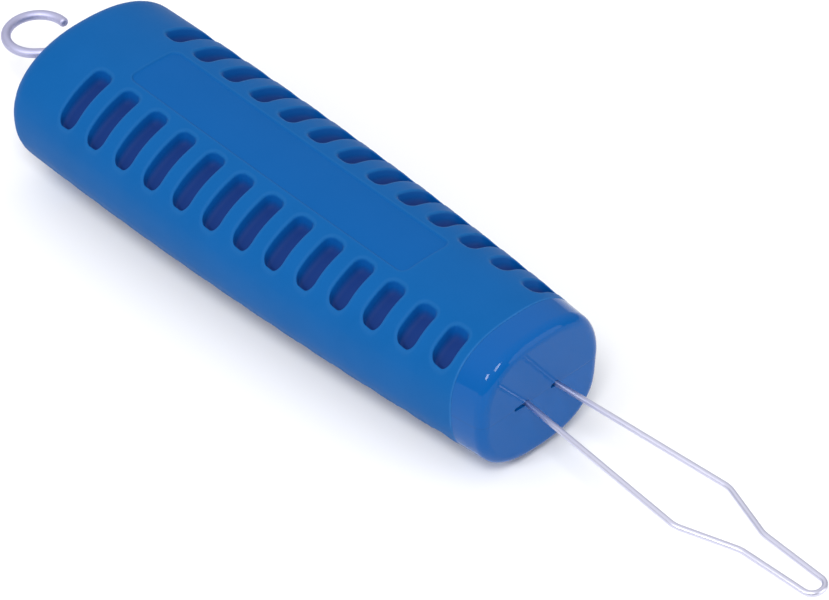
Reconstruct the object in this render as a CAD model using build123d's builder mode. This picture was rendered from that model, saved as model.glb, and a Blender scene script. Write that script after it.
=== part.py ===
"""Button hook and zipper pull: a dressing aid with a fat ribbed handle.

A hard core in two halves clamps two bent wires on its parting plane. One wire is the button
hook, a long loop that stands out of the near end. The other is the zip hook, a C that stands
out of the far end. A soft moulded sleeve covers the core up to a seam, and past the seam the
core's own head shows as the glossy end of the handle.

Frame: +X runs along the handle towards the button hook, +Z is up with the label panel on top,
and the origin is under the middle of the whole object, on the surface that it lies on.
"""
import os
from math import copysign, cos, pi, radians, sin

from build123d import *

# ---- handle -------------------------------------------------------------------------------
handle_length = 116.4
half_width_far = 18.45
half_width_middle = 18.3
half_width_near = 13.3
half_height_far = 13.85
half_height_middle = 12.45
half_height_near = 12.75
squareness_far = 2.23        # exponent of the oval section: 2 is an ellipse, more is squarer
squareness_near = 2.56
far_edge_radius = 3.8
near_edge_radius = 2.0
head_length = 6.4            # from the near face back to the seam

# ---- sleeve -------------------------------------------------------------------------------
sleeve_side_wall = 3.6
sleeve_top_wall = 4.4
sleeve_end_wall = 4.5
sleeve_gap = 0.1             # all round between the sleeve and the core
seam_gap = 0.05              # from the sleeve's edge to the core's head

slot_pitch = 7.5
slot_width = 4.0
slot_depth = 2.6             # straight down, the way the mould opens
slot_corner_radius = 1.4
first_slot_from_far_end = 15.7
slot_row_from_seam = 4.1     # the least from the last slot's middle to the seam
slot_inner_end = 7.1         # from the handle's middle plane
slot_side_margin = 1.72      # from a slot's outer end to the side of the handle

label_half_width = 5.35
label_depth = 0.3
label_corner_radius = 1.5
label_from_far_end = 19.5
label_from_seam = 20.5

# ---- core ---------------------------------------------------------------------------------
core_wall = 2.2
core_rib = 2.0
core_bay_pitch = 18.0        # the cross ribs are about this far apart
peg_radius = 1.5
peg_length = 3.0
peg_clearance = 0.1
boss_radius = 2.8
boss_gap = 0.8               # from a boss to a leg of the button hook
exit_nick_height = 0.8       # of the nicks in the near face, beside the legs' exits
exit_nick_depth = 0.4
exit_nick_reaches = [2.7, 1.3]    # from the middle of the -Y leg and of the +Y leg, towards -Y

# ---- button hook --------------------------------------------------------------------------
loop_wire = 1.05
loop_leg_half_spacing = 3.36
loop_belly_half_width = 6.17
loop_belly_reach = 36.0      # from the near face
loop_neck_half_width = 2.53
loop_neck_reach = 46.8
loop_tip_half_width = 1.95
loop_tip_reach = 61.3
loop_bend_radius = 5.0
loop_tip_radius = 1.85
loop_foot = 4.0
loop_foot_bend = 1.6

# ---- zip hook -----------------------------------------------------------------------------
zip_wire = 1.8
zip_hook_radius = 5.65
zip_hook_reach = 14.9        # from the far face to the middle of the hook
zip_hook_offset = 0.4        # sideways, from the handle's middle plane
zip_throat_angle = 50.0      # turn from the shank into the hook
zip_throat_radius = 2.2
zip_tip_past_side = 12.0     # degrees that the tip runs on past the hook's widest point
zip_tip_round = 0.6
zip_foot = 5.0
zip_foot_bend = 2.4

wire_clearance = 0.05        # all round a wire in its groove

# ---- places that follow from the sizes above ----------------------------------------------
zip_total_reach = zip_hook_reach + zip_hook_radius + zip_wire / 2
loop_total_reach = loop_tip_reach + loop_wire / 2
overall_length = zip_total_reach + handle_length + loop_total_reach
far_x = zip_total_reach - overall_length / 2
near_x = far_x + handle_length
seam_x = near_x - head_length
core_far_x = far_x + sleeve_end_wall + sleeve_gap
form_stations = 7
outline_points = 16
slot_count = int((seam_x - slot_row_from_seam - far_x - first_slot_from_far_end) / slot_pitch) + 1
slot_places = [far_x + first_slot_from_far_end + slot_pitch * n for n in range(slot_count)]
bay_far_x = core_far_x + core_wall
bay_count = round((seam_x - bay_far_x) / core_bay_pitch)
bay_length = (seam_x - bay_far_x - (bay_count - 1) * core_rib) / bay_count


def taper(far, middle, near, x):
    """A size that follows a parabola along the handle, through its far, middle and near values."""
    t = (x - far_x) / handle_length
    return far * (1 - t) * (1 - 2 * t) + 4 * middle * t * (1 - t) + near * t * (2 * t - 1)


def half_width(x):
    return taper(half_width_far, half_width_middle, half_width_near, x)


def half_height(x):
    return taper(half_height_far, half_height_middle, half_height_near, x)


def squareness(x):
    return squareness_far + (squareness_near - squareness_far) * (x - far_x) / handle_length


def surface_height(x, y):
    """Height of the handle's surface above its axis."""
    n = squareness(x)
    return half_height(x) * (1 - (abs(y) / half_width(x)) ** n) ** (1 / n)


axis_z = half_height(far_x + far_edge_radius)    # the handle rests on its high far end
axis_plane = Plane.XY.offset(axis_z)


def cross_plane(x):
    """The plane square to the handle at x, with its origin on the handle's axis."""
    return Plane(origin=(x, 0, axis_z), x_dir=(0, 1, 0), z_dir=(1, 0, 0))


def oval_points(width, height, n):
    """Points of the closed outline |y / width| ** n + |z / height| ** n = 1."""
    points = []
    for step in range(outline_points):
        turn = 2 * pi * step / outline_points
        y = copysign(width * abs(cos(turn)) ** (2 / n), cos(turn))
        z = copysign(height * abs(sin(turn)) ** (2 / n), sin(turn))
        points.append((y, z))
    return points


def handle_form(start_x, end_x, side_inset, top_inset):
    """The handle's oval, tapering form between two places, smaller all round by the insets."""
    with BuildPart() as form:
        for station in range(form_stations):
            x = start_x + (end_x - start_x) * station / (form_stations - 1)
            width = half_width(x) - side_inset
            height = half_height(x) - top_inset
            with BuildSketch(cross_plane(x)):
                with BuildLine():
                    Spline(*oval_points(width, height, squareness(x)), periodic=True)
                make_face()
        loft()
    return form.part


def slot_cut(x):
    """One slot on the +Y side of the top, with a floor that follows the handle's surface."""
    outer_end = half_width(x) - slot_side_margin
    above = 2 * half_height_far
    ends = [slot_inner_end, (slot_inner_end + outer_end) / 2, outer_end]
    floor = [(y, surface_height(x, y) - slot_depth) for y in ends]
    with BuildPart() as cut:
        with BuildSketch(cross_plane(x)):
            with BuildLine():
                ThreePointArc(*floor)
                Polyline(floor[2], (outer_end, above), (slot_inner_end, above), floor[0])
            make_face()
        extrude(amount=slot_width / 2, both=True)
        fillet(cut.edges().filter_by(Axis.Z), slot_corner_radius)
    return cut.part


def bay_start(number):
    """Where a hollow bay of the core begins, counted from the far end. A cross rib ends there."""
    return bay_far_x + number * (bay_length + core_rib)


def swept_wire(path, radius):
    """A round wire along a planar path, from the path's first point to its last."""
    with BuildPart() as wire:
        with BuildSketch(Plane(origin=path @ 0, z_dir=path % 0)):
            Circle(radius)
        sweep(path=path)
    return wire.part


# ---- wire paths, shared by the hooks and by their grooves in the core ------------------------
# Each foot lies against the rib that its leg passes through, on the side away from the hook.
loop_foot_x = bay_start(bay_count - 2) + bay_length - loop_wire / 2 - wire_clearance
loop_half_route = [
    (loop_foot_x, loop_leg_half_spacing + loop_foot),
    (loop_foot_x, loop_leg_half_spacing),
    (near_x, loop_leg_half_spacing),
    (near_x + loop_belly_reach, loop_belly_half_width),
    (near_x + loop_neck_reach, loop_neck_half_width),
    (near_x + loop_tip_reach, loop_tip_half_width),
]
loop_half_bends = [
    loop_foot_bend,
    loop_bend_radius,
    loop_bend_radius,
    loop_bend_radius,
    loop_tip_radius,
]
loop_route = loop_half_route + [(x, -y) for x, y in reversed(loop_half_route)]
loop_bends = loop_half_bends + loop_half_bends[::-1]
with BuildLine(axis_plane) as loop_line:
    FilletPolyline(*loop_route, radius=loop_bends)
loop_path = loop_line.wires()[0]

hook_middle = (far_x - zip_hook_reach, zip_hook_offset)
throat = radians(zip_throat_angle)
hook_start = (
    hook_middle[0] + zip_hook_radius * sin(throat),
    hook_middle[1] - zip_hook_radius * cos(throat),
)
throat_corner = (hook_start[0] - hook_start[1] / sin(throat) * cos(throat), 0)
zip_foot_x = bay_start(1) + zip_wire / 2 + wire_clearance
with BuildLine(axis_plane) as zip_line:
    FilletPolyline(
        (zip_foot_x, zip_foot),
        (zip_foot_x, 0),
        throat_corner,
        hook_start,
        radius=[zip_foot_bend, zip_throat_radius],
    )
    CenterArc(
        hook_middle,
        zip_hook_radius,
        zip_throat_angle - 90,
        -(zip_throat_angle + 180 + zip_tip_past_side),
    )
zip_path = zip_line.wires()[0]

# ---- sleeve -------------------------------------------------------------------------------
outer_form = handle_form(far_x, near_x, 0, 0)

right_slots = [slot_cut(slot_x) for slot_x in slot_places]
left_slots = [cut.mirror(Plane.XZ) for cut in right_slots]
top_slots = right_slots + left_slots
bottom_slots = [cut.mirror(axis_plane) for cut in top_slots]

with BuildPart() as label_cut:
    label_length = seam_x - label_from_seam - far_x - label_from_far_end
    with BuildSketch(axis_plane):
        with Locations((far_x + label_from_far_end + label_length / 2, 0)):
            RectangleRounded(label_length, 2 * label_half_width, label_corner_radius)
    extrude(amount=2 * half_height_far)
    add(outer_form.moved(Location((0, 0, -label_depth))), mode=Mode.SUBTRACT)

with BuildPart() as grip_sleeve:
    add(outer_form)
    fillet(grip_sleeve.edges().group_by(Axis.X)[0], far_edge_radius)
    split(bisect_by=Plane.YZ.offset(seam_x - seam_gap), keep=Keep.BOTTOM)
    add(
        handle_form(far_x + sleeve_end_wall, seam_x, sleeve_side_wall, sleeve_top_wall),
        mode=Mode.SUBTRACT,
    )
    with BuildSketch(cross_plane(far_x)):
        Circle(zip_wire / 2 + wire_clearance)
    extrude(amount=sleeve_end_wall, mode=Mode.SUBTRACT)
    add(top_slots + bottom_slots + [label_cut.part], mode=Mode.SUBTRACT, clean=False)
grip_sleeve.part.label = "grip_sleeve"

# ---- core -----------------------------------------------------------------------------------
core_side_inset = sleeve_side_wall + sleeve_gap
core_top_inset = sleeve_top_wall + sleeve_gap
shank_form = handle_form(core_far_x, seam_x, core_side_inset, core_top_inset)
boss_side = loop_leg_half_spacing + loop_wire / 2 + boss_gap + boss_radius
boss_bays = [0, bay_count // 2, bay_count - 1]
boss_places = [
    (bay_start(bay) + bay_length / 2, side * boss_side) for bay in boss_bays for side in (1, -1)
]
loop_groove = swept_wire(loop_path, loop_wire / 2 + wire_clearance)
zip_groove = swept_wire(zip_path, zip_wire / 2 + wire_clearance)

with BuildPart() as bosses:
    with BuildSketch(axis_plane):
        with Locations(*boss_places):
            Circle(boss_radius)
    extrude(amount=half_height_far, both=True)
    add(shank_form, mode=Mode.INTERSECT)

with BuildPart() as core:
    add(outer_form)
    fillet(core.edges().group_by(Axis.X)[-1], near_edge_radius)
    split(bisect_by=Plane.YZ.offset(seam_x), keep=Keep.TOP)
    add(shank_form)
    for bay in range(bay_count):
        start = bay_start(bay)
        hollow = handle_form(
            start, start + bay_length, core_side_inset + core_wall, core_top_inset + core_wall
        )
        add(hollow, mode=Mode.SUBTRACT)
    add(bosses.part)
    add([loop_groove, zip_groove], mode=Mode.SUBTRACT)
    with BuildSketch(cross_plane(near_x)):
        for side, reach in zip([-1, 1], exit_nick_reaches):
            with Locations((side * loop_leg_half_spacing - reach / 2, 0)):
                SlotOverall(reach, exit_nick_height)
    extrude(amount=-exit_nick_depth, mode=Mode.SUBTRACT)

with BuildPart() as core_upper:
    add(core.part)
    split(bisect_by=axis_plane, keep=Keep.TOP)
    with BuildSketch(axis_plane):
        with Locations(*boss_places):
            Circle(peg_radius + peg_clearance)
    extrude(amount=peg_length + peg_clearance, mode=Mode.SUBTRACT)
core_upper.part.label = "core_upper"

with BuildPart() as core_lower:
    add(core.part)
    split(bisect_by=axis_plane, keep=Keep.BOTTOM)
    with BuildSketch(axis_plane):
        with Locations(*boss_places):
            Circle(peg_radius)
    extrude(amount=peg_length)
core_lower.part.label = "core_lower"

# ---- wires ----------------------------------------------------------------------------------
with BuildPart() as button_hook:
    add(swept_wire(loop_path, loop_wire / 2))
button_hook.part.label = "button_hook"

with BuildPart() as zip_hook:
    add(swept_wire(zip_path, zip_wire / 2))
    tip_face = zip_hook.faces().filter_by(GeomType.PLANE).sort_by_distance(zip_path @ 1)[0]
    fillet(tip_face.edges(), zip_tip_round)
zip_hook.part.label = "zip_hook"

os.makedirs("parts", exist_ok=True)
export_step(grip_sleeve.part, "parts/grip_sleeve.step")
export_step(core_upper.part, "parts/core_upper.step")
export_step(core_lower.part, "parts/core_lower.step")
export_step(button_hook.part, "parts/button_hook.step")
export_step(zip_hook.part, "parts/zip_hook.step")

whole = Compound([grip_sleeve.part, core_upper.part, core_lower.part, button_hook.part, zip_hook.part])
box = whole.bounding_box()
print("length", box.size.X, "width", box.size.Y, "height", box.size.Z, "bottom", box.min.Z)
print("slots in a row", slot_count, "bays", bay_count)
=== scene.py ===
from math import ceil, cos, pi, radians, sin

import bmesh
import bpy
import numpy as np
from bpy.props import FloatProperty, FloatVectorProperty, IntProperty, PointerProperty
from mathutils import Matrix, Vector


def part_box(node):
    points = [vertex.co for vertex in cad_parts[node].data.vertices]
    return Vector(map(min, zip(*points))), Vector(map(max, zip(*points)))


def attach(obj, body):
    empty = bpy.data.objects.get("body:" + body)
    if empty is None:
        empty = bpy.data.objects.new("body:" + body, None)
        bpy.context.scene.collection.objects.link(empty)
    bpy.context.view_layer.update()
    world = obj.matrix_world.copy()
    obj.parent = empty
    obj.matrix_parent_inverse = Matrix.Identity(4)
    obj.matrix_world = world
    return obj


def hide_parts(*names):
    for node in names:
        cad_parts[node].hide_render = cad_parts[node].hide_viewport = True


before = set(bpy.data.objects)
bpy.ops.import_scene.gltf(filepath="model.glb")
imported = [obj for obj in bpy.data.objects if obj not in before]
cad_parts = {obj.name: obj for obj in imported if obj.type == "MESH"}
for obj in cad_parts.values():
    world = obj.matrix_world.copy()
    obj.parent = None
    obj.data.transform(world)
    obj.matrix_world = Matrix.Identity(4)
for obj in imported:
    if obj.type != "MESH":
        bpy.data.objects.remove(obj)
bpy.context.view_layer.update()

bl_info = {
    "name": "Button Hook and Zipper Pull",
    "version": (1, 0, 0),
    "blender": (4, 5, 0),
    "location": "View3D > Sidebar > Dressing Aid",
    "description": "Makes a dressing aid with a fat slotted grip, a button loop and a zip hook",
    "category": "Object",
}

MM = 0.001
BODY = "root"
SLEEVE_LOW, SLEEVE_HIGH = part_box("grip_sleeve")
CORE_LOW, CORE_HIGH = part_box("core_lower")
LOOP_LOW, LOOP_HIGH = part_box("button_hook")
ZIP_LOW, ZIP_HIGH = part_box("zip_hook")
FAR_X = SLEEVE_LOW.x                      # the handle's far face, where the zip hook stands out
SEAM_X = SLEEVE_HIGH.x                    # where the soft sleeve meets the hard head
NEAR_X = CORE_HIGH.x                      # the handle's near face, where the button loop stands out
AXIS_Z = (LOOP_LOW.z + LOOP_HIGH.z) / 2   # both wires lie in the plane of the handle's axis
HANDLE_LENGTH = NEAR_X - FAR_X
WELD = 4e-6                               # points of neighbouring patches closer than this are one


# ---- sizes and finishes that a user would change ---------------------------------------------
def length(name, description, millimetres):
    return FloatProperty(
        name=name,
        description=description,
        default=millimetres * MM,
        min=0.0,
        precision=5,
        subtype="DISTANCE",
        unit="LENGTH",
    )


def colour(name, description, value):
    return FloatVectorProperty(
        name=name, description=description, default=value, size=3, min=0.0, max=1.0, subtype="COLOR"
    )


def angle(name, description, degrees):
    return FloatProperty(
        name=name,
        description=description,
        default=radians(degrees),
        subtype="ANGLE",
        unit="ROTATION",
    )


class GripSizes(bpy.types.PropertyGroup):
    """The handle's oval form and the slots and label panel moulded into its sleeve"""

    half_width_far: length("Half width, far", "Half the handle's width at its far face", 18.45)
    half_width_middle: length("Half width, middle", "Half the handle's width half way", 18.3)
    half_width_near: length("Half width, near", "Half the handle's width at its near face", 13.3)
    half_height_far: length("Half height, far", "Half the handle's height at its far face", 13.85)
    half_height_middle: length("Half height, middle", "Half the handle's height half way", 12.45)
    half_height_near: length("Half height, near", "Half the height at its near face", 12.75)
    squareness_far: FloatProperty(
        name="Squareness, far",
        description="Exponent of the oval section at the far face: 2 is an ellipse",
        default=2.23,
        min=2.0,
        max=8.0,
    )
    squareness_near: FloatProperty(
        name="Squareness, near",
        description="Exponent of the oval section at the near face: 2 is an ellipse",
        default=2.56,
        min=2.0,
        max=8.0,
    )
    far_edge: length("Far edge radius", "Rounding of the closed far end", 3.8)
    side_wall: length("Side wall", "Sleeve's wall at its sides", 3.6)
    top_wall: length("Top wall", "Sleeve's wall at its top and underside", 4.4)
    end_wall: length("End wall", "Sleeve's wall at its closed far end", 4.5)
    slot_pitch: length("Slot pitch", "From one slot to the next", 7.5)
    slot_width: length("Slot width", "Width of a slot, along the handle", 4.0)
    slot_depth: length("Slot depth", "Depth of a slot, straight down", 2.6)
    slot_corner: length("Slot corner radius", "Radius of a slot's corners, seen from above", 1.4)
    slot_rim: length("Slot rim radius", "Soft rounding of a slot's rim", 0.5)
    slot_floor_radius: length("Slot floor radius", "Rounding between a slot's wall and floor", 1.1)
    slot_draft: length("Slot draft", "How far a slot's wall leans in over its depth", 0.12)
    slot_inner: length("Slot inner end", "From the middle plane to a slot's inner end", 7.1)
    slot_margin: length("Slot side margin", "From a slot's outer end to the handle's side", 1.72)
    first_slot: length("First slot", "From the far face to the middle of the first slot", 15.7)
    slot_count: IntProperty(name="Slots", description="Slots in one row", default=13, min=1)
    label_start: length("Label start", "From the far face to the label panel", 19.5)
    label_end: length("Label end", "From the label panel to the seam", 20.5)
    label_half_width: length("Label half width", "Half the width of the label panel", 5.35)
    label_corner: length("Label corner radius", "Radius of the label panel's corners", 1.5)
    label_depth: length("Label depth", "How far the label panel is sunk", 0.28)


class WireSizes(bpy.types.PropertyGroup):
    """The two bent wires"""

    loop_wire: length("Loop wire", "Diameter of the button loop's wire", 1.05)
    leg_half_spacing: length("Leg half spacing", "From the middle plane to a leg of the loop", 3.36)
    belly_half_width: length("Belly half width", "Half the loop's width at its widest", 6.17)
    belly_reach: length("Belly reach", "From the near face to the loop's widest place", 36.0)
    neck_half_width: length("Neck half width", "Half the loop's width where its neck starts", 2.53)
    neck_reach: length("Neck reach", "From the near face to the start of the neck", 46.8)
    tip_half_width: length("Tip half width", "Half the loop's width at its tip", 1.95)
    tip_reach: length("Tip reach", "From the near face to the wire's middle at the tip", 61.3)
    bend: length("Loop bend radius", "Radius of the loop's open bends", 5.0)
    tip_bend: length("Tip bend radius", "Radius of the loop's tip", 1.85)
    foot_bend: length("Foot bend radius", "Radius of the bend into a foot inside the core", 1.6)
    zip_wire: length("Zip wire", "Diameter of the zip hook's wire", 1.8)
    zip_radius: length("Hook radius", "Radius of the zip hook, to the wire's middle", 5.65)
    zip_reach: length("Hook reach", "From the far face to the middle of the zip hook", 14.9)
    zip_offset: length("Hook offset", "Sideways, from the middle plane to the hook's middle", 0.4)
    throat: angle("Throat angle", "Turn from the shank into the hook", 50.0)
    throat_bend: length("Throat bend radius", "Radius of the bend from shank to hook", 2.2)
    tip_past: angle("Tip past side", "How far the tip runs on past the hook's side", 12.0)
    tip_round: length("Tip rounding", "Rounding of the zip hook's cut end", 0.6)
    zip_foot: length("Zip foot", "Length of the zip hook's foot inside the core", 5.0)
    zip_foot_bend: length("Zip foot bend", "Radius of the bend into the zip hook's foot", 2.4)


class Finishes(bpy.types.PropertyGroup):
    """Colours of the moulded parts and the wire, and the painted highlights and shade laid on the
    soft sleeve
    """

    grip: colour("Grip", "Soft sleeve, in the open", (0.0006, 0.088, 0.295))
    # Painted highlight: a paler copy of the grip colour on the rounded rims of the slots and the
    # label panel.
    grip_halo: colour("Grip, rims", "Soft sleeve, round a moulded rim", (0.0070, 0.104, 0.325))
    # Painted shade: a bluer, less red copy of the grip colour down a slot's walls, standing in for
    # how they are lit.
    grip_wall: colour("Grip, walls", "Soft sleeve, on a slot's wall", (0.0003, 0.082, 0.330))
    # Painted shade: a darker copy of the grip colour at the bottom of a slot, where shade falls.
    grip_shade: colour("Grip, deep", "Soft sleeve, at the bottom of a slot", (0.008, 0.034, 0.170))
    # Painted highlight: a paler copy of the grip colour on the sleeve's rounded edge at the seam.
    grip_edge: colour("Grip, seam", "Soft sleeve, on its edge at the seam", (0.030, 0.160, 0.430))
    head: colour("Head", "Glossy end of the core", (0.0003, 0.086, 0.320))
    wire: colour("Loop wire", "Bright drawn wire", (0.68, 0.68, 0.82))
    hook_wire: colour("Hook wire", "Satin drawn wire", (0.54, 0.54, 0.73))
    floor: colour("Floor", "Pale studio floor", (0.93, 0.93, 0.93))


class CameraPlace(bpy.types.PropertyGroup):
    """Where the camera stands"""

    azimuth: angle("Azimuth", "Turn about the vertical: 0 looks along +Y", 48.268)
    elevation: angle("Elevation", "Height above the horizon", 41.750)
    roll: angle("Roll", "Lean of the camera to its right", 1.490)
    distance: length("Distance", "From the camera to the point that it looks at", 641.16)
    aim_x: FloatProperty(name="Aim X", description="Point it looks at", default=7.12 * MM)
    aim_y: FloatProperty(name="Aim Y", description="Point it looks at", default=0.52 * MM)
    lens: FloatProperty(name="Lens", description="Focal length in millimetres", default=167.49)


# ---- the handle's form -----------------------------------------------------------------------
def taper(far, middle, near, x):
    """A size that follows a parabola along the handle, through its three values."""
    t = (x - FAR_X) / HANDLE_LENGTH
    return far * (1 - t) * (1 - 2 * t) + 4 * middle * t * (1 - t) + near * t * (2 * t - 1)


def half_width(grip, x):
    return taper(grip.half_width_far, grip.half_width_middle, grip.half_width_near, x)


def half_height(grip, x):
    return taper(grip.half_height_far, grip.half_height_middle, grip.half_height_near, x)


def squareness(grip, x):
    t = (x - FAR_X) / HANDLE_LENGTH
    return grip.squareness_far + (grip.squareness_near - grip.squareness_far) * t


def surface(grip, x, y):
    """Height of the handle's surface above its axis, for arrays of places."""
    n = squareness(grip, x)
    inside = np.clip(1 - (np.abs(y) / half_width(grip, x)) ** n, 0, 1)
    return half_height(grip, x) * inside ** (1 / n)


# ---- patches of skin -------------------------------------------------------------------------
def rounded_ring(low, high, radius, outset, arc_half, across, along):
    """Points round a rounded rectangle grown by an outset, from the middle of its first corner.

    Each corner's arc has 2 * arc_half steps. The sides in X have `across` more steps between the
    arcs, and the sides in Y have `along`."""
    low = (low[0] - outset, low[1] - outset)
    high = (high[0] + outset, high[1] + outset)
    radius = radius + outset
    corners = [
        (low[0] + radius, low[1] + radius, pi),
        (high[0] - radius, low[1] + radius, 1.5 * pi),
        (high[0] - radius, high[1] - radius, 0.0),
        (low[0] + radius, high[1] - radius, 0.5 * pi),
    ]
    steps_to_next = [across, along, across, along]
    points = []
    for number, (cx, cy, start) in enumerate(corners):
        arc = [
            (cx + radius * cos(start + turn), cy + radius * sin(start + turn))
            for turn in np.linspace(0, pi / 2, 2 * arc_half + 1)
        ]
        next_cx, next_cy, next_start = corners[(number + 1) % 4]
        leave = np.array(arc[-1])
        arrive = np.array((next_cx + radius * cos(next_start), next_cy + radius * sin(next_start)))
        shares = np.linspace(0, 1, steps_to_next[number] + 1)[1:-1]
        points += arc + [tuple(leave + (arrive - leave) * s) for s in shares]
    return np.roll(np.array(points), -arc_half, axis=0)


def square_ring(low, high, across, along):
    """Points round a rectangle, evenly spaced along each side, from its first corner."""
    xs = np.linspace(low[0], high[0], across + 1)
    ys = np.linspace(low[1], high[1], along + 1)
    points = [(x, low[1]) for x in xs[:-1]]
    points += [(high[0], y) for y in ys[:-1]]
    points += [(x, high[1]) for x in xs[:0:-1]]
    points += [(low[0], y) for y in ys[:0:-1]]
    return np.array(points)


def ring_fill(ring, across, along):
    """A grid of points inside a closed ring that has `across` and `along` steps on its sides."""
    low = ring[: across + 1]
    right = ring[across : across + along + 1]
    high = ring[across + along : 2 * across + along + 1][::-1]
    left = np.vstack([ring[2 * across + along :], ring[:1]])[::-1]
    s = np.linspace(0, 1, across + 1)[:, None, None]
    t = np.linspace(0, 1, along + 1)[None, :, None]
    between_ends = (1 - t) * low[:, None] + t * high[:, None]
    between_sides = (1 - s) * left[None] + s * right[None]
    corners = (1 - s) * ((1 - t) * low[0] + t * high[0]) + s * ((1 - t) * low[-1] + t * high[-1])
    return between_ends + between_sides - corners


class Skin:
    """Collects points and four-sided faces, and turns them into one welded mesh."""

    def __init__(self):
        self.points = []
        self.faces = []

    def grid(self, points, closed=False):
        """Adds rows and columns of points. A closed grid joins its last column to its first."""
        rows, columns = points.shape[:2]
        first = len(self.points)
        self.points += [tuple(p) for p in points.reshape(-1, points.shape[2])]
        for row in range(rows - 1):
            for column in range(columns if closed else columns - 1):
                beside = (column + 1) % columns
                here = first + row * columns
                above = here + columns
                self.faces.append((here + column, here + beside, above + beside, above + column))

    def mesh(self, name, *layers):
        """The mesh, with each point's further numbers kept as named layers."""
        mesh = bpy.data.meshes.new(name)
        points = np.array(self.points)
        mesh.from_pydata(points[:, :3].tolist(), [], self.faces)
        for number, layer in enumerate(layers):
            values = mesh.attributes.new(layer, "FLOAT", "POINT")
            values.data.foreach_set("value", points[:, 3 + number].astype(np.float32))
        return mesh


def welded(mesh, *others):
    """Joins meshes into the first, welds the points that meet, and turns every face outwards."""
    joined = bmesh.new()
    for part in (mesh, *others):
        joined.from_mesh(part)
    bmesh.ops.remove_doubles(joined, verts=joined.verts, dist=WELD)
    bmesh.ops.recalc_face_normals(joined, faces=joined.faces)
    for face in joined.faces:
        face.smooth = True
    joined.to_mesh(mesh)
    open_edges = sum(1 for edge in joined.edges if not edge.is_manifold)
    joined.free()
    if open_edges:
        raise RuntimeError(f"{mesh.name} has {open_edges} open edges")
    for part in others:
        bpy.data.meshes.remove(part)
    return mesh


def finished(mesh, name, material, slot, *nodes):
    """Puts a finished mesh in the scene, on its body and in place of its CAD nodes."""
    piece = bpy.data.objects.new(name, mesh)
    bpy.context.scene.collection.objects.link(piece)
    mesh.materials.clear()
    mesh.materials.append(material)
    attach(piece, BODY)
    if nodes:
        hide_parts(*nodes)
    return piece


# ---- node trees ------------------------------------------------------------------------------
def add_node(tree, kind, feeds=None, **settings):
    """A new node with these settings, and with its inputs fed by name or number."""
    node = tree.nodes.new(kind)
    for name, value in settings.items():
        setattr(node, name, value)
    for socket, value in (feeds or {}).items():
        feed(tree, node.inputs[socket], value)
    return node


def feed(tree, socket, value):
    """Links a socket to an output, or sets it to a plain value."""
    if isinstance(value, bpy.types.NodeSocket):
        tree.links.new(value, socket)
    elif value is not None:
        socket.default_value = value


def sum_node(tree, operation, *values):
    """A math node of any operation, fed with outputs or numbers. Returns its output."""
    node = add_node(tree, "ShaderNodeMath", operation=operation)
    for socket, value in zip(node.inputs, values):
        feed(tree, socket, value)
    return node.outputs[0]


def geometry_tree(name, inputs):
    """A new geometry tree with a mesh input and named inputs, and its two end nodes."""
    tree = bpy.data.node_groups.new(name, "GeometryNodeTree")
    tree.interface.new_socket("Geometry", in_out="INPUT", socket_type="NodeSocketGeometry")
    for label, kind in inputs:
        tree.interface.new_socket(label, in_out="INPUT", socket_type=kind)
    tree.interface.new_socket("Geometry", in_out="OUTPUT", socket_type="NodeSocketGeometry")
    start = tree.nodes.new("NodeGroupInput")
    end = tree.nodes.new("NodeGroupOutput")
    return tree, start, end


def grown(tree, source, name, values):
    """Runs a tree on a source mesh, with its inputs set by name, and returns the plain mesh."""
    stem = bpy.data.objects.new(name, source)
    bpy.context.scene.collection.objects.link(stem)
    modifier = stem.modifiers.new(tree.name, "NODES")
    modifier.node_group = tree
    for item in tree.interface.items_tree:
        if item.in_out == "INPUT" and item.name in values:
            modifier[item.identifier] = values[item.name]
    depsgraph = bpy.context.evaluated_depsgraph_get()
    mesh = bpy.data.meshes.new_from_object(stem.evaluated_get(depsgraph), depsgraph=depsgraph)
    stem.modifiers.remove(modifier)
    bpy.data.objects.remove(stem)
    bpy.data.meshes.remove(source)
    if not mesh.polygons:
        raise RuntimeError(f"{name}: the tree {tree.name} made no faces")
    mesh.name = name
    return mesh


def finish_tree(tree, end, geometry, material):
    """Ends a tree in Realize Instances and Set Material."""
    realize = add_node(tree, "GeometryNodeRealizeInstances", {0: geometry})
    feeds = {"Geometry": realize.outputs[0], "Material": material}
    paint = add_node(tree, "GeometryNodeSetMaterial", feeds)
    feed(tree, end.inputs[0], paint.outputs[0])


def node_taper(tree, far, middle, near, t):
    """The handle's parabola, as math nodes."""
    rest = sum_node(tree, "SUBTRACT", 1.0, t)
    twice = sum_node(tree, "MULTIPLY", t, 2.0)
    far_share = sum_node(tree, "MULTIPLY", rest, sum_node(tree, "SUBTRACT", 1.0, twice))
    middle_share = sum_node(tree, "MULTIPLY", sum_node(tree, "MULTIPLY", t, rest), 4.0)
    near_share = sum_node(tree, "MULTIPLY", t, sum_node(tree, "SUBTRACT", twice, 1.0))
    value = sum_node(tree, "MULTIPLY", far, far_share)
    value = sum_node(tree, "MULTIPLY_ADD", middle, middle_share, value)
    return sum_node(tree, "MULTIPLY_ADD", near, near_share, value)


def named(tree, name):
    """A named attribute's value, as a node output."""
    kind = "GeometryNodeInputNamedAttribute"
    return add_node(tree, kind, {"Name": name}, data_type="FLOAT").outputs["Attribute"]


def mirrored(tree, geometry, scale):
    """The geometry and its mirror image, with the image's faces turned the right way."""
    image = add_node(tree, "GeometryNodeTransform", {"Geometry": geometry, "Scale": scale})
    flip = add_node(tree, "GeometryNodeFlipFaces", {"Mesh": image.outputs[0]})
    join = add_node(tree, "GeometryNodeJoinGeometry", {0: flip.outputs[0]})
    feed(tree, join.inputs[0], geometry)
    return join.outputs[0]


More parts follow.
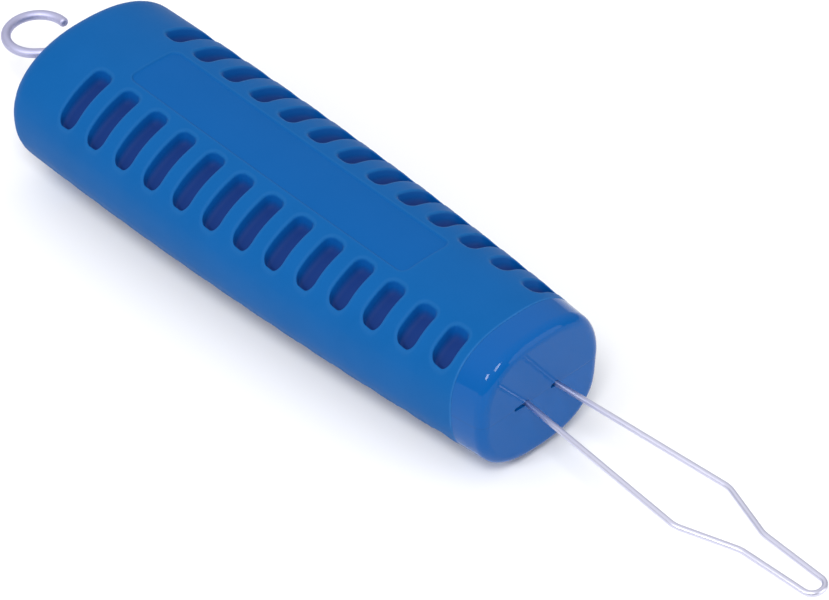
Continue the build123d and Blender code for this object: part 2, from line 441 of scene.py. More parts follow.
def slot_row_tree():
    """Lays one flat slot cell along the handle, stretches each copy to the handle's width there,
    wraps it on the oval form and mirrors it into all four rows."""
    floats = [
        "Pitch", "First slot", "Axis height", "Far face", "Handle length", "Slot side margin",
        "Cell outer end", "Half width far", "Half width middle", "Half width near",
        "Half height far", "Half height middle", "Half height near",
        "Squareness far", "Squareness near",
    ]
    inputs = [("Slots", "NodeSocketInt")] + [(name, "NodeSocketFloat") for name in floats]
    tree, start, end = geometry_tree("Slot rows", inputs + [("Material", "NodeSocketMaterial")])
    given = start.outputs
    line = add_node(tree, "GeometryNodeMeshLine", {"Count": given["Slots"]}, mode="OFFSET")
    for socket_name, along in (("Start Location", "First slot"), ("Offset", "Pitch")):
        vector = add_node(tree, "ShaderNodeCombineXYZ", {"X": given[along]})
        feed(tree, line.inputs[socket_name], vector.outputs[0])

    place = add_node(tree, "GeometryNodeInputPosition").outputs[0]
    split_place = add_node(tree, "ShaderNodeSeparateXYZ", {0: place})
    x, y = split_place.outputs["X"], split_place.outputs["Y"]
    mark = add_node(
        tree,
        "GeometryNodeStoreNamedAttribute",
        {"Name": "slot_x", "Geometry": line.outputs[0], "Value": x},
        data_type="FLOAT",
        domain="POINT",
    )
    feeds = {"Points": mark.outputs[0], "Instance": given["Geometry"]}
    copies = add_node(tree, "GeometryNodeInstanceOnPoints", feeds)
    real = add_node(tree, "GeometryNodeRealizeInstances", {0: copies.outputs[0]})

    def along_handle(x):
        return sum_node(tree, "DIVIDE", sum_node(tree, "SUBTRACT", x, given["Far face"]),
                        given["Handle length"])

    def size_at(name, t):
        values = [given[f"{name} {where}"] for where in ("far", "middle", "near")]
        return node_taper(tree, *values, t)

    slot_x, border = named(tree, "slot_x"), named(tree, "border")
    off_middle = sum_node(tree, "SUBTRACT", x, slot_x)
    reach_x = sum_node(tree, "MULTIPLY_ADD", off_middle, border, slot_x)
    reach = sum_node(tree, "SUBTRACT", size_at("Half width", along_handle(reach_x)),
                     given["Slot side margin"])
    spare = sum_node(tree, "SUBTRACT", reach, given["Cell outer end"])
    wide_y = sum_node(tree, "MULTIPLY_ADD", spare, named(tree, "stretch"), y)

    t = along_handle(x)
    more = sum_node(tree, "SUBTRACT", given["Squareness near"], given["Squareness far"])
    n = sum_node(tree, "MULTIPLY_ADD", more, t, given["Squareness far"])
    width_share = sum_node(tree, "DIVIDE", wide_y, size_at("Half width", t))
    inside = sum_node(tree, "SUBTRACT", 1.0, sum_node(tree, "POWER", width_share, n))
    height_share = sum_node(tree, "POWER", inside, sum_node(tree, "DIVIDE", 1.0, n))
    height = sum_node(tree, "MULTIPLY", size_at("Half height", t), height_share)
    sunk = sum_node(tree, "SUBTRACT", height, named(tree, "slot_depth"))
    wrapped = add_node(tree, "ShaderNodeCombineXYZ", {"X": x, "Y": wide_y, "Z": sunk})
    feeds = {"Geometry": real.outputs[0], "Position": wrapped.outputs[0]}
    wrap = add_node(tree, "GeometryNodeSetPosition", feeds)

    both_sides = mirrored(tree, wrap.outputs[0], (1.0, -1.0, 1.0))
    all_rows = mirrored(tree, both_sides, (1.0, 1.0, -1.0))
    up = add_node(tree, "ShaderNodeCombineXYZ", {"Z": given["Axis height"]})
    feeds = {"Geometry": all_rows, "Translation": up.outputs[0]}
    lift = add_node(tree, "GeometryNodeTransform", feeds)
    finish_tree(tree, end, lift.outputs[0], given["Material"])
    return tree


def wire_tree():
    """Rounds the corners of a route to each corner's own bend radius, and draws a wire along it."""
    tree, start, end = geometry_tree("Bent wire", [
        ("Wire radius", "NodeSocketFloat"), ("Steps in a bend", "NodeSocketInt"),
        ("Steps round", "NodeSocketInt"), ("Material", "NodeSocketMaterial"),
    ])
    given = start.outputs
    route = add_node(tree, "GeometryNodeMeshToCurve", {"Mesh": given["Geometry"]})
    feeds = {
        "Curve": route.outputs[0],
        "Count": given["Steps in a bend"],
        "Radius": named(tree, "bend"),
        "Limit Radius": False,
    }
    rounded = add_node(tree, "GeometryNodeFilletCurve", feeds, mode="POLY")
    feeds = {"Resolution": given["Steps round"], "Radius": given["Wire radius"]}
    outline = add_node(tree, "GeometryNodeCurvePrimitiveCircle", feeds, mode="RADIUS")
    feeds = {
        "Curve": rounded.outputs[0],
        "Scale": named(tree, "girth"),
        "Profile Curve": outline.outputs[0],
        "Fill Caps": True,
    }
    draw = add_node(tree, "GeometryNodeCurveToMesh", feeds)
    smooth = add_node(tree, "GeometryNodeSetShadeSmooth", {"Geometry": draw.outputs[0]})
    finish_tree(tree, end, smooth.outputs[0], given["Material"])
    return tree


# ---- materials -------------------------------------------------------------------------------
def new_material(name, **shader_values):
    """A material whose shader has these values set on its own sockets."""
    material = bpy.data.materials.new(name)
    material.use_nodes = True
    shader = material.node_tree.nodes["Principled BSDF"]
    for label, value in shader_values.items():
        shader.inputs[label.replace("_", " ").title().replace("Ior", "IOR")].default_value = value
    return material, material.node_tree, shader


def object_noise(tree, scale, detail=3.0, stretch=(1.0, 1.0, 1.0)):
    """Noise on Object coordinates, with `scale` features to a metre. Returns its value output."""
    where = add_node(tree, "ShaderNodeTexCoord").outputs["Object"]
    mapping = add_node(tree, "ShaderNodeMapping", {"Vector": where, "Scale": stretch})
    feeds = {"Vector": mapping.outputs[0], "Scale": scale, "Detail": detail}
    return add_node(tree, "ShaderNodeTexNoise", feeds).outputs[0]


def spread(tree, value, low, high):
    """A value from 0 to 1 spread between two numbers."""
    feeds = {"Value": value, "To Min": low, "To Max": high}
    return add_node(tree, "ShaderNodeMapRange", feeds).outputs[0]


def mixed(tree, factor, first, second):
    """Two colours mixed by a factor."""
    node = add_node(tree, "ShaderNodeMix", data_type="RGBA")
    feed(tree, node.inputs["Factor"], factor)
    for socket, value in zip([s for s in node.inputs if s.type == "RGBA"], (first, second)):
        feed(tree, socket, value)
    return [s for s in node.outputs if s.type == "RGBA"][0]


def bump(tree, height, distance, strength, under=None):
    """A bump of a real height in metres. Returns its normal output."""
    feeds = {"Strength": strength, "Distance": distance, "Height": height, "Normal": under}
    return add_node(tree, "ShaderNodeBump", feeds).outputs[0]


def solid(rgb):
    return (*rgb, 1.0)


def ramp(tree, value, start, end):
    """A smooth rise from 0 to 1 as a value goes from start to end."""
    feeds = {"Value": value, "From Min": start, "From Max": end}
    node = add_node(tree, "ShaderNodeMapRange", feeds, interpolation_type="SMOOTHSTEP")
    return node.outputs[0]


def object_place(tree):
    """The X, Y and Z outputs of a node that splits Object coordinates."""
    where = add_node(tree, "ShaderNodeTexCoord").outputs["Object"]
    return add_node(tree, "ShaderNodeSeparateXYZ", {0: where}).outputs


def grip_material(finishes):
    """Soft satin moulding: matt grain, faint clouding, painted shade down the slots, a painted
    highlight round the rims, and a painted highlight along the edge at the seam."""
    material, tree, shader = new_material(
        "soft grip", specular_ior_level=0.06, sheen_weight=0.03, sheen_roughness=0.45
    )
    cloud = object_noise(tree, 90.0, 4.0)
    grain = object_noise(tree, 2600.0, 2.0)
    paler = [min(1.0, c * 1.10 + 0.002) for c in finishes.grip]
    clouding = spread(tree, sum_node(tree, "MULTIPLY_ADD", grain, 0.6, cloud), -0.2, 1.0)
    open_colour = mixed(tree, clouding, solid(finishes.grip), solid(paler))
    depth = add_node(tree, "ShaderNodeAttribute", attribute_name="slot_depth").outputs["Fac"]
    # Painted shade on the slot walls, from 0.1 mm down.
    on_wall = ramp(tree, depth, 0.10 * MM, 0.60 * MM)
    # Painted shade on the slot floors, from 1.2 mm down.
    on_floor = ramp(tree, depth, 1.2 * MM, 2.6 * MM)
    # Painted highlight on the rounded rims of the slots and the label panel.
    halo = add_node(tree, "ShaderNodeAttribute", attribute_name="halo").outputs["Fac"]
    shaded = mixed(tree, halo, open_colour, solid(finishes.grip_halo))
    shaded = mixed(tree, on_wall, shaded, solid(finishes.grip_wall))
    shaded = mixed(tree, on_floor, shaded, solid(finishes.grip_shade))
    # Painted highlight along the rounded edge at the seam, broken up by noise.
    at_seam = ramp(tree, object_place(tree)["X"], SEAM_X - 0.50 * MM, SEAM_X - 0.15 * MM)
    seam_highlight_breakup = spread(tree, object_noise(tree, 400.0), 0.1, 0.9)
    seam_highlight_share = sum_node(tree, "MULTIPLY", at_seam, seam_highlight_breakup)
    base = mixed(tree, seam_highlight_share, shaded, solid(finishes.grip_edge))
    feed(tree, shader.inputs["Base Color"], base)
    feed(tree, shader.inputs["Roughness"], spread(tree, object_noise(tree, 260.0), 0.46, 0.60))
    fine = bump(tree, grain, 0.03 * MM, 0.35)
    feed(tree, shader.inputs["Normal"], bump(tree, cloud, 0.10 * MM, 0.25, fine))
    return material


def head_material(finishes):
    """Hard glossy moulding, with a faint flow texture and the fine line where its halves meet."""
    material, tree, shader = new_material("glossy head", specular_ior_level=0.16)
    off_axis = sum_node(tree, "SUBTRACT", object_place(tree)["Z"], AXIS_Z)
    off_line = ramp(tree, sum_node(tree, "ABSOLUTE", off_axis), 0.03 * MM, 0.12 * MM)
    line = sum_node(tree, "SUBTRACT", 1.0, off_line)
    cloud = object_noise(tree, 70.0, 3.0)
    paler = [min(1.0, c * 1.06 + 0.001) for c in finishes.head]
    body_colour = mixed(tree, cloud, solid(finishes.head), solid(paler))
    joint_colour = [c * 0.7 for c in finishes.head]
    line_share = sum_node(tree, "MULTIPLY", line, 0.5)
    base = mixed(tree, line_share, body_colour, solid(joint_colour))
    feed(tree, shader.inputs["Base Color"], base)
    feed(tree, shader.inputs["Roughness"], spread(tree, object_noise(tree, 180.0), 0.03, 0.07))
    ripple = bump(tree, object_noise(tree, 220.0, 2.0), 0.04 * MM, 0.25)
    groove = sum_node(tree, "MULTIPLY", line, -1.0)
    feed(tree, shader.inputs["Normal"], bump(tree, groove, 0.04 * MM, 0.5, ripple))
    return material


def wire_material(name, shade, smoothest, roughest):
    """Drawn wire, with fine scratches along it."""
    material, tree, shader = new_material(name, metallic=1.0)
    marks = object_noise(tree, 900.0, 3.0, (0.06, 1.0, 1.0))
    duller = [c * 0.90 for c in shade]
    feed(tree, shader.inputs["Base Color"], mixed(tree, marks, solid(shade), solid(duller)))
    feed(tree, shader.inputs["Roughness"], spread(tree, marks, smoothest, roughest))
    feed(tree, shader.inputs["Normal"], bump(tree, marks, 0.01 * MM, 0.35))
    return material


def floor_material(finishes):
    """Pale matt paper sweep."""
    material, tree, shader = new_material("pale floor", specular_ior_level=0.1, roughness=0.9)
    fibre = object_noise(tree, 40.0, 2.0)
    paler = [min(1.0, c * 1.01) for c in finishes.floor]
    feed(tree, shader.inputs["Base Color"], mixed(tree, fibre, solid(finishes.floor), solid(paler)))
    return material


# ---- sleeve ----------------------------------------------------------------------------------
SLOT_ARC_HALF = 3        # steps in half of a slot corner's arc
SLOT_ACROSS = 2          # steps in a slot's straight short end
SLOT_ALONG = 10          # steps in a slot's straight long side
CELL_ACROSS = SLOT_ACROSS + 2 * SLOT_ARC_HALF
CELL_ALONG = SLOT_ALONG + 2 * SLOT_ARC_HALF
CENTRE_ROWS = 12         # rows of faces between the two rows of slots
SIDE_ROWS = 6            # rows of faces from a cell's outer end to the handle's side
CELL_MARGIN = 1.25 * MM  # from a slot's outer end to the end of its cell
CELL_START = 6.0 * MM    # from the middle plane to the start of a cell
LABEL_ARC_HALF = 4       # steps in half of a label corner's arc
SOFT_EDGE = 0.16 * MM    # the sleeve's fine edges, at the label panel and at the seam
SHANK_CLEARANCE = 0.05 * MM


def slot_profile(grip):
    """Outset from a slot's outline, depth and painted rim highlight, from the open skin to the
    slot's floor.
    """
    rim, floor_radius = grip.slot_rim, grip.slot_floor_radius
    # The third number of each step is a painted highlight, strongest at the top of the rounded rim.
    steps = [(rim * 1.6, 0.0, 0.0), (rim * 1.2, 0.0, 0.6)]
    for turn in np.linspace(0, pi / 2, 6):
        steps.append((rim * (1 - sin(turn)), rim * (1 - cos(turn)), cos(turn)))
    for turn in np.linspace(0, pi / 2, 7):
        inset = grip.slot_draft + floor_radius * (1 - cos(turn))
        steps.append((-inset, grip.slot_depth - floor_radius * (1 - sin(turn)), 0.0))
    steps.append((steps[-1][0] - 0.15 * MM, grip.slot_depth, 0.0))
    return steps


def flat_slot_cell(grip, outer_end):
    """One slot and the skin round it, flat, with its depth kept as a layer.

    `stretch` says how far a point goes with the slot's outer end as the handle widens, and
    `border` marks the points that the next cell shares."""
    half = grip.slot_pitch / 2
    low = (-grip.slot_width / 2, grip.slot_inner)
    high = (grip.slot_width / 2, outer_end)
    cell_end = outer_end + CELL_MARGIN
    border = square_ring((-half, CELL_START), (half, cell_end), CELL_ACROSS, CELL_ALONG)
    straight_start = grip.slot_inner + grip.slot_corner
    straight_end = outer_end - grip.slot_corner

    def layered(points, depth, halo, on_border=0.0):
        """Flat points with their height of 0 and their four layers."""
        if on_border:
            stretch = (points[..., 1] - CELL_START) / (cell_end - CELL_START)
        else:
            stretch = (points[..., 1] - straight_start) / (straight_end - straight_start)
        same = np.ones(points.shape[:-1])
        layers = (0 * same, depth * same, halo * same, np.clip(stretch, 0, 1), on_border * same)
        return np.concatenate([points, np.stack(layers, axis=-1)], axis=-1)

    rows = [layered(border, 0.0, 0.0, 1.0)]
    for outset, depth, halo in slot_profile(grip):
        ring = rounded_ring(
            low, high, grip.slot_corner, outset, SLOT_ARC_HALF, SLOT_ACROSS, SLOT_ALONG
        )
        rows.append(layered(ring, depth, halo))
    skin = Skin()
    skin.grid(np.stack(rows), closed=True)
    skin.grid(layered(ring_fill(ring, CELL_ACROSS, CELL_ALONG), depth, halo))
    return skin.mesh("slot cell", "slot_depth", "halo", "stretch", "border")


def lifted(grip, x, y, depth, side, halo=0.0):
    """Flat places wrapped on the form's top (side 1) or underside (side -1), with their layers."""
    z = AXIS_Z + side * (surface(grip, x, y) - depth)
    return np.stack([x + 0 * y, y + 0 * x, z, depth + 0 * z, halo + 0 * z], axis=-1)


def cell_outer(grip, x):
    return half_width(grip, x) - grip.slot_margin + CELL_MARGIN


def side_rows(grip, x):
    """Y and height of the rows from the cells' outer end down to the handle's side, at each x."""
    a, b, n = half_width(grip, x), half_height(grip, x), squareness(grip, x)
    first = np.arccos((cell_outer(grip, x) / a) ** (n / 2))
    turn = first[..., None] * np.linspace(1, 0, SIDE_ROWS + 1)
    n = n[..., None]
    y = a[..., None] * np.cos(turn) ** (2 / n)
    z = b[..., None] * np.sin(turn) ** (2 / n)
    return y, z


def section(grip, x):
    """Offsets from the axis of all the rows' points round the handle, for an array of places."""
    x = np.atleast_1d(np.asarray(x, float))
    cell = np.linspace(0, 1, CELL_ALONG + 1)
    centre_y = np.linspace(CELL_START, -CELL_START, CENTRE_ROWS + 1)
    side_y, side_z = side_rows(grip, x)
    cell_y = CELL_START + (cell_outer(grip, x)[:, None] - CELL_START) * cell[::-1]
    cell_z = surface(grip, x[:, None], cell_y)
    middle_y = np.broadcast_to(centre_y, (len(x), CENTRE_ROWS + 1))
    middle_z = surface(grip, x[:, None], middle_y)
    right_y = np.hstack([side_y[:, ::-1], cell_y[:, 1:]])
    right_z = np.hstack([side_z[:, ::-1], cell_z[:, 1:]])
    top_y = np.hstack([right_y, middle_y[:, 1:-1], -right_y[:, ::-1]])
    top_z = np.hstack([right_z, middle_z[:, 1:-1], right_z[:, ::-1]])
    y = np.hstack([top_y, top_y[:, -2:0:-1]])
    z = np.hstack([top_z, -top_z[:, -2:0:-1]])
    return y, z


def placed(x, y, z):
    """Rings of points at places along the handle, with no depth or painted rim highlight."""
    x = np.broadcast_to(np.asarray(x, float).reshape(-1, 1), y.shape)
    return np.stack([x, y, AXIS_Z + z, 0 * y, 0 * y], axis=-1)


def label_patch(skin, grip, columns, first, last):
    """The sunk label panel and the skin round it, between two columns of the grid."""
    low = (columns[first], -CELL_START)
    high = (columns[last], CELL_START)
    across, along = last - first, CENTRE_ROWS
    rings = [(square_ring(low, high, across, along), 0.0, 0.0)]
    panel_low = (FAR_X + grip.label_start, -grip.label_half_width)
    panel_high = (SEAM_X - grip.label_end, grip.label_half_width)
    # The third number of each step is a painted highlight on the panel's rounded edge.
    steps = [(3.2 * SOFT_EDGE, 0.0, 0.0), (1.9 * SOFT_EDGE, 0.0, 0.8)]
    for down in np.linspace(0, 1, 6):
        depth = (1 - cos(pi * down)) / 2 * grip.label_depth
        steps.append((SOFT_EDGE * (1 - 2 * down), depth, 0.8 * (1 - down)))
    steps.append((-2.2 * SOFT_EDGE, grip.label_depth, 0.0))
    straight_steps = (across - 2 * LABEL_ARC_HALF, along - 2 * LABEL_ARC_HALF)
    for outset, depth, halo in steps:
        ring = rounded_ring(
            panel_low, panel_high, grip.label_corner, outset, LABEL_ARC_HALF, *straight_steps
        )
        rings.append((ring, depth, halo))
    rows = [lifted(grip, *ring.T, depth, 1, halo) for ring, depth, halo in rings]
    skin.grid(np.stack(rows), closed=True)
    inner = ring_fill(rings[-1][0], across, along)
    depth = np.full(inner.shape[:2], grip.label_depth)
    skin.grid(lifted(grip, inner[..., 0], inner[..., 1], depth, 1))


def slot_zone(skin, grip, columns):
    """The skin beside, between and under the rows of slots."""
    centre = np.linspace(-CELL_START, CELL_START, CENTRE_ROWS + 1)
    pitch = grip.slot_pitch / CELL_ACROSS
    first = int((FAR_X + grip.label_start - columns[0]) / pitch) - 2
    last = ceil((SEAM_X - grip.label_end - columns[0]) / pitch) + 2
    label_patch(skin, grip, columns, first, last)
    end = len(columns) - 1
    for side, start, stop in ((1, 0, first), (1, last, end), (-1, 0, end)):
        x = columns[start : stop + 1, None]
        skin.grid(lifted(grip, x, centre[None], 0.0, side))
    y, z = side_rows(grip, columns)
    for side_y in (1, -1):
        for side_z in (1, -1):
            skin.grid(placed(columns, side_y * y, side_z * z))


def closed_end(skin, grip, columns, shank_radius):
    """The plain skin beyond the slots, the rounded far end and its hole for the shank."""
    edge_x = FAR_X + grip.far_edge
    run = np.linspace(columns[0], edge_x, 9)
    skin.grid(placed(run, *section(grip, run)), closed=True)
    y, z = section(grip, edge_x)
    a, b = half_width(grip, edge_x), half_height(grip, edge_x)
    turn = np.linspace(0, pi / 2, 11)
    inset = grip.far_edge * (1 - np.cos(turn))[:, None]
    x = edge_x - grip.far_edge * np.sin(turn)
    skin.grid(placed(x, y * (a - inset) / a, z * (b - inset) / b), closed=True)
    face_y, face_z = y * (1 - grip.far_edge / a), z * (1 - grip.far_edge / b)
    away = np.hypot(face_y, face_z)
    hole_y, hole_z = face_y / away * shank_radius, face_z / away * shank_radius
    inwards = np.array([0, 0.05, 0.25, 0.5, 0.75, 0.92, 1])[:, None]
    face = (face_y + (hole_y - face_y) * inwards, face_z + (hole_z - face_z) * inwards)
    skin.grid(placed(np.full(len(inwards), FAR_X), *face), closed=True)
    inner_x = FAR_X + grip.end_wall
    hole = (np.repeat(hole_y, 2, axis=0), np.repeat(hole_z, 2, axis=0))
    skin.grid(placed([FAR_X, inner_x], *hole), closed=True)
    return hole_y, hole_z


def hollow_and_seam(skin, grip, columns, hole_y, hole_z):
    """The bore that the core fills, and the open end with its soft edge at the seam."""
    inner_x = FAR_X + grip.end_wall
    run = np.linspace(inner_x, SEAM_X, 14)
    y, z = section(grip, run)
    a, b = half_width(grip, run)[:, None], half_height(grip, run)[:, None]
    bore_y, bore_z = y * (a - grip.side_wall) / a, z * (b - grip.top_wall) / b
    skin.grid(placed(run, bore_y, bore_z), closed=True)
    wall_y = np.vstack([hole_y, (hole_y + bore_y[:1]) / 2, bore_y[:1]])
    wall_z = np.vstack([hole_z, (hole_z + bore_z[:1]) / 2, bore_z[:1]])
    skin.grid(placed([inner_x] * 3, wall_y, wall_z), closed=True)

    turn = np.linspace(0, pi / 2, 4)
    rounding = SEAM_X - SOFT_EDGE + SOFT_EDGE * np.sin(turn)
    x = np.concatenate([[columns[-1]], rounding, [SEAM_X]])
    inset = np.concatenate([[0], SOFT_EDGE * (1 - np.cos(turn)), [2.5 * SOFT_EDGE]])[:, None]
    y, z = section(grip, x)
    a, b = half_width(grip, x)[:, None], half_height(grip, x)[:, None]
    rim_y, rim_z = y * (a - inset) / a, z * (b - inset) / b
    skin.grid(placed(x, rim_y, rim_z), closed=True)
    end_y = np.vstack([rim_y[-1:], bore_y[-1:]])
    end_z = np.vstack([rim_z[-1:], bore_z[-1:]])
    skin.grid(placed([SEAM_X] * 2, end_y, end_z), closed=True)


class OBJECT_OT_grip_sleeve(bpy.types.Operator):
    """Make the soft sleeve with its four rows of slots and its label panel"""

    bl_idname = "object.dressing_aid_sleeve"
    bl_label = "Grip Sleeve"

    def execute(self, context):
        aid = context.scene.dressing_aid
        grip = aid.grip
        material = grip_material(aid.finishes)
        outer_end = half_width(grip, FAR_X + grip.first_slot) - grip.slot_margin
        values = {
            "Slots": grip.slot_count,
            "Pitch": grip.slot_pitch,
            "First slot": FAR_X + grip.first_slot,
            "Axis height": AXIS_Z,
            "Far face": FAR_X,
            "Handle length": HANDLE_LENGTH,
            "Slot side margin": grip.slot_margin,
            "Cell outer end": outer_end,
            "Material": material,
        }
        for name in grip.__annotations__:
            if name.startswith(("half_", "squareness_")):
                values[name.replace("_", " ").capitalize()] = getattr(grip, name)
        slots = grown(slot_row_tree(), flat_slot_cell(grip, outer_end), "slot rows", values)
        columns = FAR_X + grip.first_slot - grip.slot_pitch / 2 + np.linspace(
            0, grip.slot_pitch * grip.slot_count, CELL_ACROSS * grip.slot_count + 1
        )
        skin = Skin()
        slot_zone(skin, grip, columns)
        shank_radius = aid.wires.zip_wire / 2 + SHANK_CLEARANCE
        hole = closed_end(skin, grip, columns, shank_radius)
        hollow_and_seam(skin, grip, columns, *hole)
        mesh = welded(skin.mesh("grip_sleeve_skin", "slot_depth", "halo"), slots)
        finished(mesh, "soft_grip_sleeve", material, "soft_grip", "grip_sleeve")
        return {"FINISHED"}


# ---- core ------------------------------------------------------------------------------------
class OBJECT_OT_core(bpy.types.Operator):
    """Give the two halves of the hard core their glossy finish"""

    bl_idname = "object.dressing_aid_core"
    bl_label = "Glossy Core"

    def execute(self, context):
        material = head_material(context.scene.dressing_aid.finishes)
        for name in ("core_upper", "core_lower"):
            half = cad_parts[name]
            half.data.materials.clear()
            half.data.materials.append(material)
        return {"FINISHED"}


# ---- wires -----------------------------------------------------------------------------------
WIRE_BEND_STEPS = 12     # steps in a bend between two straight runs
WIRE_ROUND_STEPS = 32    # faces round a wire
HOOK_STATIONS = 72       # places along the zip hook's arc
TIP_STATIONS = 6         # places along the rounding of its cut end


def route_mesh(name, route):
    """A chain of edges through (x, y, bend radius, share of full girth) corners in the plane of
    the handle's axis."""
    mesh = bpy.data.meshes.new(name)
    points = [(x, y, AXIS_Z) for x, y, _, _ in route]
    mesh.from_pydata(points, [(i, i + 1) for i in range(len(points) - 1)], [])
    for layer, column in (("bend", 2), ("girth", 3)):
        values = mesh.attributes.new(layer, "FLOAT", "POINT")
        values.data.foreach_set("value", [corner[column] for corner in route])
    return mesh


def drawn_wire(name, route, diameter, material):
    """The mesh of a wire drawn along a route."""
    values = {
        "Wire radius": diameter / 2,
        "Steps in a bend": WIRE_BEND_STEPS,
        "Steps round": WIRE_ROUND_STEPS,
        "Material": material,
    }
    return grown(wire_tree(), route_mesh(name, route), name, values)


class OBJECT_OT_button_loop(bpy.types.Operator):
    """Bend the long wire loop that pulls a button through its hole"""

    bl_idname = "object.dressing_aid_button_loop"
    bl_label = "Button Loop"

    def execute(self, context):
        aid = context.scene.dressing_aid
        wires = aid.wires
        foot_x = LOOP_LOW.x + wires.loop_wire / 2
        foot_y = LOOP_HIGH.y
        half = [
            (foot_x, foot_y, 0.0, 1.0),
            (foot_x, wires.leg_half_spacing, wires.foot_bend, 1.0),
            (NEAR_X, wires.leg_half_spacing, wires.bend, 1.0),
            (NEAR_X + wires.belly_reach, wires.belly_half_width, wires.bend, 1.0),
            (NEAR_X + wires.neck_reach, wires.neck_half_width, wires.bend, 1.0),
            (NEAR_X + wires.tip_reach, wires.tip_half_width, wires.tip_bend, 1.0),
        ]
        route = half + [(x, -y, bend, share) for x, y, bend, share in reversed(half)]
        material = wire_material("bright drawn wire", aid.finishes.wire, 0.30, 0.42)
        mesh = drawn_wire("button_loop_route", route, wires.loop_wire, material)
        finished(mesh, "button_loop_wire", material, "steel_wire", "button_hook")
        return {"FINISHED"}


class OBJECT_OT_zip_hook(bpy.types.Operator):
    """Bend the C-shaped wire hook that catches a zip slider"""

    bl_idname = "object.dressing_aid_zip_hook"
    bl_label = "Zip Hook"

    def execute(self, context):
        aid = context.scene.dressing_aid
        wires = aid.wires
        middle = (FAR_X - wires.zip_reach, wires.zip_offset)
        start_x = middle[0] + wires.zip_radius * sin(wires.throat)
        start_y = middle[1] - wires.zip_radius * cos(wires.throat)
        throat_x = start_x - start_y * cos(wires.throat) / sin(wires.throat)
        foot_x = ZIP_HIGH.x - wires.zip_wire / 2
        route = [
            (foot_x, wires.zip_foot, 0.0, 1.0),
            (foot_x, 0.0, wires.zip_foot_bend, 1.0),
            (throat_x, 0.0, wires.throat_bend, 1.0),
        ]
        sweep = wires.throat + pi + wires.tip_past
        rounding = wires.tip_round / wires.zip_radius
        stations = [(turn, 1.0) for turn in np.linspace(0, sweep - rounding, HOOK_STATIONS)]
        for lean in np.linspace(0, pi / 2, TIP_STATIONS + 1)[1:]:
            girth = 1 - wires.tip_round / (wires.zip_wire / 2) * (1 - cos(lean))
            stations.append((sweep - rounding * (1 - sin(lean)), girth))
        for turn, girth in stations:
            direction = wires.throat - pi / 2 - turn
            x = middle[0] + wires.zip_radius * cos(direction)
            y = middle[1] + wires.zip_radius * sin(direction)
            route.append((x, y, 0.0, girth))
        material = wire_material("satin drawn wire", aid.finishes.hook_wire, 0.50, 0.62)
        mesh = drawn_wire("zip_hook_route", route, wires.zip_wire, material)
        finished(mesh, "zip_hook_wire", material, "steel_wire", "zip_hook")
        return {"FINISHED"}


# ---- stage -----------------------------------------------------------------------------------
def soft_light(name, place, aim, size, power):
    """A large soft box at a place, turned to face a point."""
    lamp = bpy.data.lights.new(name, "AREA")
    lamp.shape = "DISK"
    lamp.size = size
    lamp.energy = power
    light = bpy.data.objects.new(name, lamp)
    light.location = place
    light.rotation_euler = (Vector(aim) - Vector(place)).to_track_quat("-Z", "Y").to_euler()
    bpy.context.scene.collection.objects.link(light)


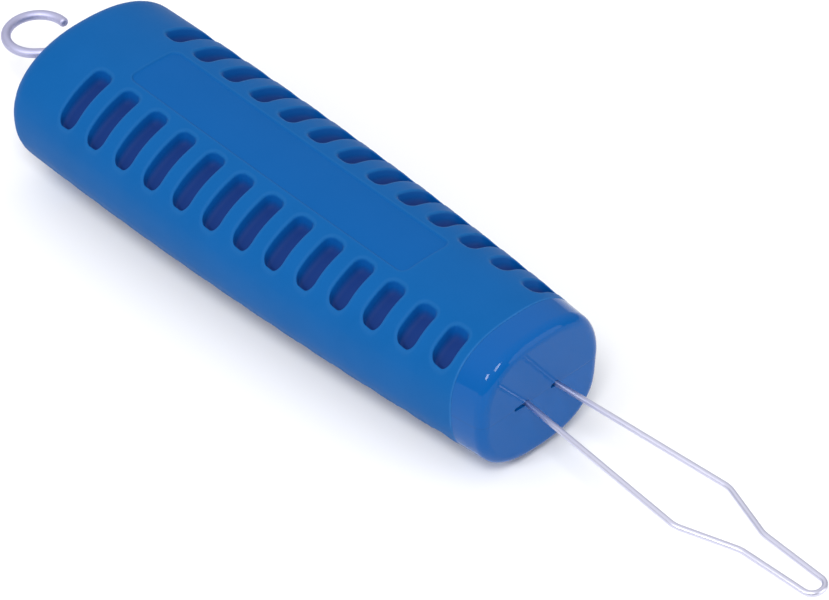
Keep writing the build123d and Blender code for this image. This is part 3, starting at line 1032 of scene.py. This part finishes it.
class OBJECT_OT_studio(bpy.types.Operator):
    """Set the pale floor, the soft lights and the camera"""

    bl_idname = "object.dressing_aid_studio"
    bl_label = "Studio"

    def execute(self, context):
        aid = context.scene.dressing_aid
        mesh = bpy.data.meshes.new("floor")
        reach = 4.0
        corners = [(-reach, -reach, 0), (reach, -reach, 0), (reach, reach, 0), (-reach, reach, 0)]
        mesh.from_pydata(corners, [], [(0, 1, 2, 3)])
        mesh.materials.append(floor_material(aid.finishes))
        floor = bpy.data.objects.new("floor", mesh)
        context.scene.collection.objects.link(floor)

        aim = (0.03, 0.0, AXIS_Z)
        soft_light("key", (0.40, -0.43, 0.84), aim, size=0.34, power=4.6)
        soft_light("side", (-0.06, -0.81, 0.59), aim, size=0.20, power=2.2)
        soft_light("end", (0.95, 0.45, 0.35), aim, size=0.80, power=3.0)

        world = bpy.data.worlds.new("studio")
        context.scene.world = world
        world.use_nodes = True
        sky = world.node_tree
        background = sky.nodes["Background"]
        background.inputs["Color"].default_value = (0.98, 0.98, 1.0, 1.0)
        direction = add_node(sky, "ShaderNodeTexCoord").outputs["Generated"]
        parts = add_node(sky, "ShaderNodeSeparateXYZ", {0: direction})
        overhead = spread(sky, ramp(sky, parts.outputs["Z"], 0.0, 0.9), 0.40, 0.98)
        to_far_end = sum_node(sky, "MULTIPLY_ADD", parts.outputs["X"], -0.35, 0.92)
        feed(sky, background.inputs["Strength"], sum_node(sky, "MULTIPLY", overhead, to_far_end))
        context.scene.view_settings.view_transform = "Standard"

        place = aid.camera
        target = Vector((place.aim_x, place.aim_y, AXIS_Z))
        turn, lift = place.azimuth, place.elevation
        away = Vector((sin(turn) * cos(lift), -cos(turn) * cos(lift), sin(lift)))
        lens = bpy.data.cameras.new("camera")
        lens.lens = place.lens
        lens.sensor_width = 36.0
        camera = bpy.data.objects.new("camera", lens)
        camera.matrix_world = (
            Matrix.Translation(target + away * place.distance)
            @ (-away).to_track_quat("-Z", "Y").to_matrix().to_4x4()
            @ Matrix.Rotation(-place.roll, 4, "Z")
        )
        context.scene.collection.objects.link(camera)
        context.scene.camera = camera
        return {"FINISHED"}


# ---- add-on ----------------------------------------------------------------------------------
class DressingAidSettings(bpy.types.PropertyGroup):
    """Everything that a user would change"""

    grip: PointerProperty(type=GripSizes, name="Grip", description="Sizes of the handle")
    wires: PointerProperty(type=WireSizes, name="Wires", description="Sizes of the wires")
    finishes: PointerProperty(type=Finishes, name="Finishes", description="Colours")
    camera: PointerProperty(type=CameraPlace, name="Camera", description="Camera's place")


class VIEW3D_PT_dressing_aid(bpy.types.Panel):
    """Lists the pieces of the dressing aid, in the order that they are made"""

    bl_label = "Dressing Aid"
    bl_idname = "VIEW3D_PT_dressing_aid"
    bl_space_type = "VIEW_3D"
    bl_region_type = "UI"
    bl_category = "Dressing Aid"

    def draw(self, context):
        layout = self.layout
        for piece in PIECES:
            layout.operator(piece.bl_idname)
        aid = context.scene.dressing_aid
        for group in (aid.grip, aid.wires, aid.finishes, aid.camera):
            box = layout.box()
            for name in group.__annotations__:
                box.prop(group, name)


PIECES = (
    OBJECT_OT_grip_sleeve,
    OBJECT_OT_core,
    OBJECT_OT_button_loop,
    OBJECT_OT_zip_hook,
    OBJECT_OT_studio,
)
CLASSES = (
    GripSizes,
    WireSizes,
    Finishes,
    CameraPlace,
    DressingAidSettings,
    *PIECES,
    VIEW3D_PT_dressing_aid,
)


def register():
    for cls in CLASSES:
        bpy.utils.register_class(cls)
    bpy.types.Scene.dressing_aid = PointerProperty(type=DressingAidSettings)


def unregister():
    del bpy.types.Scene.dressing_aid
    for cls in reversed(CLASSES):
        bpy.utils.unregister_class(cls)


def main():
    register()
    bpy.ops.object.dressing_aid_sleeve()
    bpy.ops.object.dressing_aid_core()
    bpy.ops.object.dressing_aid_button_loop()
    bpy.ops.object.dressing_aid_zip_hook()
    bpy.ops.object.dressing_aid_studio()


if __name__ == "__main__":
    main()
